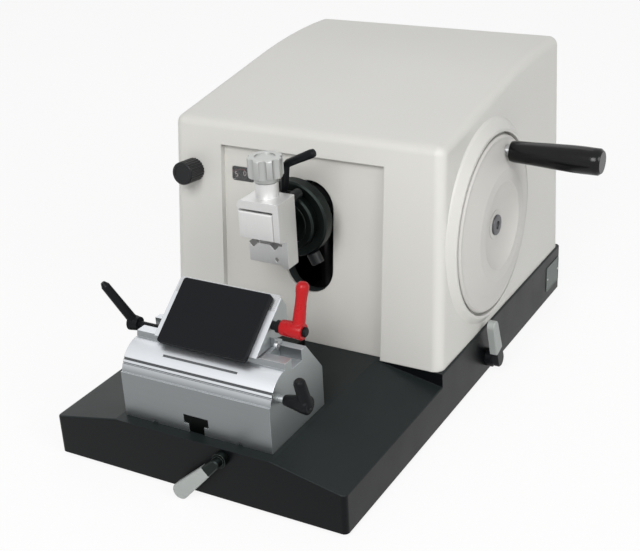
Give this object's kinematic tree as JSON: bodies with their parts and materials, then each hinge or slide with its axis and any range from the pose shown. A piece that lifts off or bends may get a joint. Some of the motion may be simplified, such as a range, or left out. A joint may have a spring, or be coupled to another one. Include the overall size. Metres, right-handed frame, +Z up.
{
  "type": "rotary microtome",
  "caption": "Bench rotary microtome with side handwheel, rising specimen clamp, sliding blade holder with clamping levers, and black base.",
  "frame": {"origin": "point on the bench under the middle of the base's rectangle", "axes": "+Z up, +Y from the knife end to the rear, +X towards the handwheel side"},
  "size_m": [0.4461, 0.5513, 0.307],
  "materials": {
    "base_black": "semi-gloss black paint",
    "foot_rubber": "matt rubber",
    "rail_steel": "darkened steel",
    "housing_white": "satin warm white",
    "panel_white": "satin warm white",
    "black_plastic": "black moulded",
    "window_clear": "clear",
    "dial_plate": "anodised black dial",
    "steel": "turned steel",
    "wheel_white": "satin warm white paint",
    "grip_black": "polished black",
    "inner_iron": "machined casting",
    "brass": "turned brass",
    "head_black": "blackened steel",
    "clamp_alu": "satin aluminium",
    "lever_black": "black moulded lever",
    "wheel_black": "black moulded wheel",
    "holder_alu": "satin milled aluminium",
    "blade_steel": "ground steel",
    "plate_black": "satin black",
    "lever_red": "red moulded lever",
    "lever_grey": "light grey lever"
  },
  "bodies": {
    "base": {"base_casting": "base_black", "base_cover": "base_black", "rubber_feet": "foot_rubber", "knife_rail": "rail_steel", "housing_cover": "housing_white", "front_panel": "panel_white", "slot_frame": "black_plastic", "window_glass": "window_clear", "dial_pin": "steel", "shaft_bearing_inner": "inner_iron", "shaft_bearing_outer": "inner_iron", "guide_foot": "inner_iron", "guide_column_left": "steel", "guide_column_right": "steel", "guide_bridge": "inner_iron", "coarse_bearing": "inner_iron"},
    "wheel": {"handwheel": "wheel_white", "main_shaft": "steel", "hub_nut": "steel", "grip_spindle": "steel", "crank_disc": "steel", "crank_pin": "steel"},
    "grip": {"handwheel_grip": "grip_black"},
    "carriage": {"carriage": "inner_iron", "yoke_plate": "steel", "feed_bracket": "steel"},
    "feed": {"object_cylinder": "steel", "head_flange": "head_black", "socket_ring": "head_black"},
    "feed_drive": {"feed_screw": "steel", "feed_gear": "brass"},
    "head_lock": {"head_lock_screw": "black_plastic"},
    "ball": {"tilt_ball": "steel"},
    "clamp": {"clamp_carrier": "clamp_alu", "swing_pin": "steel", "clamp_frame": "clamp_alu", "clamp_fixed_jaw": "clamp_alu"},
    "jaw": {"clamp_moving_jaw": "clamp_alu"},
    "clamp_knob": {"clamp_screw": "steel", "clamp_knob": "clamp_alu"},
    "release_lever": {"clamp_release_lever": "lever_black"},
    "setting_knob": {"thickness_knob": "black_plastic", "knob_spindle": "steel"},
    "dial": {"thickness_dial": "dial_plate"},
    "coarse_wheel": {"coarse_wheel": "wheel_black", "coarse_shaft": "steel"},
    "holder": {"holder_base": "holder_alu"},
    "lateral": {"lateral_slide": "holder_alu"},
    "blade_unit": {"blade_holder": "holder_alu", "blade": "blade_steel", "pressure_plate": "plate_black"},
    "red_lever": {"red_lever_shaft": "lever_black", "red_lever": "lever_red", "red_lever_cap": "lever_black"},
    "lateral_lever": {"lateral_lock_lever": "lever_black"},
    "segment_lever": {"segment_lock_lever": "lever_black"},
    "rail_lever": {"rail_clamp_shaft": "head_black", "rail_clamp_lever": "lever_grey"},
    "wheel_lock": {"wheel_lock_hub": "lever_black", "wheel_lock_lever": "lever_grey"}
  },
  "joints": [
    {"name": "handwheel_turn", "type": "hinge", "parent": "base", "child": "wheel", "pos_m": [0.15, 0.055, 0.165], "axis": [1, 0, 0], "continuous": true},
    {"name": "grip_turn", "type": "hinge", "parent": "wheel", "child": "grip", "pos_m": [0.21, 0.0759, 0.2365], "axis": [1, 0, 0], "continuous": true},
    {"name": "stroke_slide", "type": "slide", "parent": "base", "child": "carriage", "axis": [0, 0, -1], "range_m": [0, 0.061]},
    {"name": "feed_slide", "type": "slide", "parent": "carriage", "child": "feed", "axis": [0, -1, 0], "range_m": [-0.008, 0.014]},
    {"name": "feed_screw_turn", "type": "hinge", "parent": "carriage", "child": "feed_drive", "pos_m": [0.0055, 0.115, 0.2], "axis": [0, 1, 0], "range_deg": [-1440.1, 2520.1]},
    {"name": "coarse_wheel_turn", "type": "hinge", "parent": "base", "child": "coarse_wheel", "pos_m": [-0.16, 0.07, 0.17], "axis": [1, 0, 0], "range_deg": [-1440.1, 2520.1]},
    {"name": "head_lock_turn", "type": "hinge", "parent": "feed", "child": "head_lock", "pos_m": [0.02372, -0.077, 0.16574], "axis": [0.4695, 0, -0.8829], "range_deg": [0, 180]},
    {"name": "head_tilt", "type": "hinge", "parent": "feed", "child": "ball", "pos_m": [0.0055, -0.086, 0.2], "axis": [1, 0, 0], "range_deg": [-8, 8]},
    {"name": "head_swing", "type": "hinge", "parent": "ball", "child": "clamp", "pos_m": [0.0055, -0.101, 0.2], "axis": [0, 0, 1], "range_deg": [-8, 8]},
    {"name": "clamp_screw_turn", "type": "hinge", "parent": "clamp", "child": "clamp_knob", "pos_m": [0.0055, -0.1215, 0.25], "axis": [0, 0, 1], "range_deg": [-432.1, 2592.1]},
    {"name": "jaw_slide", "type": "slide", "parent": "clamp", "child": "jaw", "axis": [0, 0, -1], "range_m": [-0.0015, 0.009]},
    {"name": "release_lever_turn", "type": "hinge", "parent": "clamp", "child": "release_lever", "pos_m": [0.0225, -0.1, 0.233], "axis": [0, 1, 0], "range_deg": [0, 50]},
    {"name": "setting_knob_turn", "type": "hinge", "parent": "base", "child": "setting_knob", "pos_m": [-0.125, -0.05218, 0.223], "axis": [0, -0.9942, 0.1071], "range_deg": [0, 300]},
    {"name": "dial_turn", "type": "hinge", "parent": "base", "child": "dial", "pos_m": [-0.071, -0.05518, 0.19516], "axis": [0, -0.9942, 0.1071], "range_deg": [-123.01, 0]},
    {"name": "holder_slide", "type": "slide", "parent": "base", "child": "holder", "axis": [0, 1, 0], "range_m": [-0.008, 0.014]},
    {"name": "lateral_slide", "type": "slide", "parent": "holder", "child": "lateral", "axis": [1, 0, 0], "range_m": [-0.01, 0.008]},
    {"name": "clearance_tilt", "type": "hinge", "parent": "lateral", "child": "blade_unit", "pos_m": [-0.0022, -0.182, 0.1715], "axis": [-1, 0, 0], "range_deg": [0, 10]},
    {"name": "red_lever_turn", "type": "hinge", "parent": "blade_unit", "child": "red_lever", "pos_m": [0.07, -0.2005, 0.151], "axis": [1, 0, 0], "range_deg": [0, 75]},
    {"name": "lateral_lever_turn", "type": "hinge", "parent": "lateral", "child": "lateral_lever", "pos_m": [-0.09, -0.208, 0.1265], "axis": [1, 0, 0], "range_deg": [-40, 70]},
    {"name": "segment_lever_turn", "type": "hinge", "parent": "holder", "child": "segment_lever", "pos_m": [0.09, -0.2385, 0.1035], "axis": [1, 0, 0], "range_deg": [-40, 70]},
    {"name": "rail_lever_turn", "type": "hinge", "parent": "base", "child": "rail_lever", "pos_m": [0.0336, -0.2685, 0.0485], "axis": [0, 1, 0], "range_deg": [0, 90]},
    {"name": "wheel_lock_turn", "type": "hinge", "parent": "base", "child": "wheel_lock", "pos_m": [0.16, 0.044, 0.02], "axis": [1, 0, 0], "range_deg": [0, 55]}
  ],
  "couplings": [
    {"joint": "clamp_screw_turn", "follows": "jaw_slide", "rad_per_m": 5026.5},
    {"joint": "coarse_wheel_turn", "follows": "feed_slide", "rad_per_m": 3141.6},
    {"joint": "feed_screw_turn", "follows": "feed_slide", "rad_per_m": 3141.6},
    {"joint": "dial_turn", "follows": "setting_knob_turn", "ratio": -0.40969}
  ]
}
